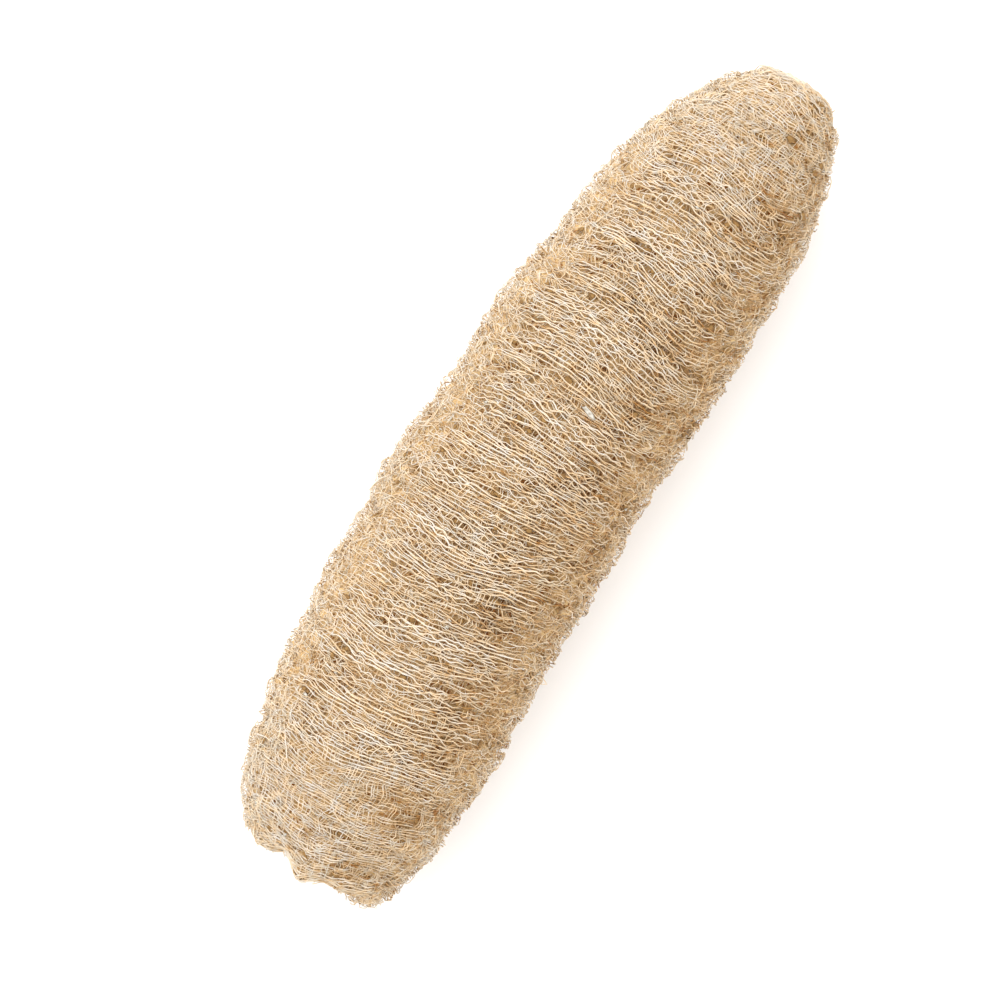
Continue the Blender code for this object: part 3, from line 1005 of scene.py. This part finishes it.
arc, angle, draw = wandering(42, STRAYS, STRAY_SAMPLES, STRAY_STEP, STRAY_BEND)
sunk = np.linspace(-1, 1, STRAY_SAMPLES)[None] ** 4
lies = STRAY_DEPTH[0] + (STRAY_DEPTH[1] - STRAY_DEPTH[0]) * sunk
tone = STRAY_TONE + STRAY_TONES_VARY * draw.uniform(-1, 1, (STRAYS, 1)) + painted_side_shade_and_tone(arc, angle)
fibre_piece("stray_strands", arc, angle, lies, STRAY_RADIUS, tone, outer_fibre)


# Rim frays: torn fibre ends round the ragged rim of the blossom end, browner than the rest.
FRAYS = 150
FRAY_SAMPLES = 6
FRAY_ARCS = (0.0120, 0.0290)
FRAY_RUN = 0.0025
FRAY_TURN = 0.20
FRAY_DEPTH = 0.0008
FRAY_RISE = (0.0002, 0.0014)
FRAY_RADIUS = 0.00018
FRAY_TONE = 0.25
FRAY_TONES_VARY = 0.22

draw = np.random.default_rng(43)
start = draw.uniform(*FRAY_ARCS, (FRAYS, 1))
run = np.linspace(0, 1, FRAY_SAMPLES)[None]
arc = start + draw.uniform(-FRAY_RUN, FRAY_RUN, (FRAYS, 1)) * run
angle = draw.uniform(0, 2 * math.pi, (FRAYS, 1)) + draw.uniform(-FRAY_TURN, FRAY_TURN, (FRAYS, 1)) * run
lies = FRAY_DEPTH - draw.uniform(*FRAY_RISE, (FRAYS, 1)) * run
tone = FRAY_TONE + FRAY_TONES_VARY * draw.uniform(-1, 1, (FRAYS, 1))
fibre_piece("rim_frays", arc, angle, lies, FRAY_RADIUS, tone, outer_fibre)


# Pith flecks and flesh shreds: what stayed of the dried fruit between the strands. Each is a thin ragged
# flake, longer along the rings than across them. Pith flecks are papery and near white, and one large one
# lies on top. Flesh shreds are brown and stick under the rings, in the larger cells.
FLECKS = 150
FLECK_LENGTH = (0.0005, 0.0013)
FLECK_WIDTH = (0.0002, 0.0005)
FLECK_DEPTH = (0.0001, 0.0006)
LARGE_FLECK = {
    "arc": 0.1866,
    "angle": 0.15,
    "length": 0.0040,
    "width": 0.0009,
    "depth": -0.0001,
    "heading": 0.23,
}
SHREDS = 600
SHRED_LENGTH = (0.0010, 0.0022)
SHRED_WIDTH = (0.0006, 0.0012)
SHRED_DEPTH = (0.0005, 0.0010)
LONGER_TO_RIGHT = 0.35
WIDER_TO_RIGHT = 0.25
FLAKE_TURN = 0.35
FLAKE_SPOKES = 9
FLAKE_RAGGED = (0.6, 1.15)
FLAKE_HALF_WAY = 0.55
FLAKE_CROWN = 0.00015
FLAKE_LEVELS = (-1, -0.8, 0.2, 0.5)  # middle above, half way out, rim, middle below: in crowns, downwards
FLAKE_COLOURS_AT = (0.3, 0.6)
FLECK_FROM_ENDS = (0.02, 0.01)
PITH_GREY = "968E7E"
PITH_WHITE = "CCC8BE"
FLESH_DARK = "70502A"
FLESH_PALE = "92703E"


def flake_material(name, low, high):
    """Dried parenchyma, the flesh between the fibres: matt, from one colour to the other in fine patches."""
    material, tree, shader = new_material(name)
    place = add_node(tree, "ShaderNodeTexCoord").outputs["Object"]
    noise = add_node(tree, "ShaderNodeTexNoise", {"Vector": place, "Scale": 1 / GRAIN_SIZE, "Detail": 2.0})
    ramp = add_node(tree, "ShaderNodeValToRGB", {"Fac": noise.outputs["Fac"]})
    for element, position, colour in zip(ramp.color_ramp.elements, FLAKE_COLOURS_AT, (low, high)):
        element.position = position
        element.color = linear(colour)
    tree.links.new(ramp.outputs["Color"], shader.inputs["Base Color"])
    shader.inputs["Roughness"].default_value = 0.85
    return material


def flakes(name, draw, arc, angle, length, width, depth, heading, material):
    """Thin closed lenses with a ragged rim: a middle point above, a ring of points half way out, the rim a
    little lower, and a middle point below, all set out on the skin round each flake's place."""
    count = len(arc)
    ragged = draw.uniform(*FLAKE_RAGGED, (count, FLAKE_SPOKES))
    zero = np.zeros((count, 1))
    out = np.concatenate([zero, FLAKE_HALF_WAY * ragged, ragged, zero], axis=1)
    spoke = 2 * math.pi * np.arange(FLAKE_SPOKES) / FLAKE_SPOKES
    spoke = np.concatenate([zero, np.tile(spoke, (count, 2)), zero], axis=1)
    levels = np.repeat(FLAKE_LEVELS, (1, FLAKE_SPOKES, FLAKE_SPOKES, 1))
    across, along = width * out * np.sin(spoke), length * out * np.cos(spoke)
    turn = angle + (across * np.sin(heading) + along * np.cos(heading)) / half_width_at(arc)
    place = arc + across * np.cos(heading) - along * np.sin(heading)
    points = under_skin(place, turn, depth + FLAKE_CROWN * levels) + TO_BOX
    inner = 1 + np.arange(FLAKE_SPOKES)
    rim = inner + FLAKE_SPOKES
    top = 0 * inner
    bottom = top + 1 + 2 * FLAKE_SPOKES
    inner_next, rim_next = np.roll(inner, -1), np.roll(rim, -1)
    flake_faces = [
        np.stack([top, inner, inner_next], -1),
        np.stack([inner, rim, rim_next], -1),
        np.stack([inner, rim_next, inner_next], -1),
        np.stack([bottom, rim_next, rim], -1),
    ]
    first_points = place.shape[1] * np.arange(count)[:, None, None]
    faces = (np.concatenate(flake_faces)[None] + first_points).reshape(-1, 3)
    sponge_piece(name, points.reshape(-1, 3), faces, np.zeros(place.size, np.float32), material)


draw = np.random.default_rng(45)
fleck_arc = draw.uniform(FLECK_FROM_ENDS[0], WHOLE_ARC - FLECK_FROM_ENDS[1], FLECKS)
fleck_arc = np.append(fleck_arc, LARGE_FLECK["arc"])[:, None]
fleck_angle = np.append(draw.uniform(0, 2 * math.pi, FLECKS), LARGE_FLECK["angle"])[:, None]
length = np.append(draw.uniform(*FLECK_LENGTH, FLECKS), LARGE_FLECK["length"])[:, None]
width = np.append(draw.uniform(*FLECK_WIDTH, FLECKS), LARGE_FLECK["width"])[:, None]
fleck_depth = np.append(draw.uniform(*FLECK_DEPTH, FLECKS), LARGE_FLECK["depth"])[:, None]
heading = np.append(draw.normal(0, FLAKE_TURN, FLECKS), LARGE_FLECK["heading"])[:, None]
dried_pith = flake_material("dried_pith", PITH_GREY, PITH_WHITE)
flakes("pith_flecks", draw, fleck_arc, fleck_angle, length, width, fleck_depth, heading, dried_pith)

draw = np.random.default_rng(47)
shred_angle = CELL_ANGLES[:SHREDS, None]
shred_arc = CELL_ARCS[:SHREDS, None] + leaning(CELL_ARCS[:SHREDS, None], shred_angle)
length = draw.uniform(*SHRED_LENGTH, (SHREDS, 1)) * (1 + LONGER_TO_RIGHT * np.sin(shred_angle))
width = draw.uniform(*SHRED_WIDTH, (SHREDS, 1)) * (1 + WIDER_TO_RIGHT * np.sin(shred_angle))
shred_depth = draw.uniform(*SHRED_DEPTH, (SHREDS, 1)) + open_side(shred_arc, shred_angle)
heading = draw.normal(0, FLAKE_TURN, (SHREDS, 1))
dried_flesh = flake_material("dried_flesh", FLESH_DARK, FLESH_PALE)
flakes("flesh_shreds", draw, shred_arc, shred_angle, length, width, shred_depth, heading, dried_flesh)
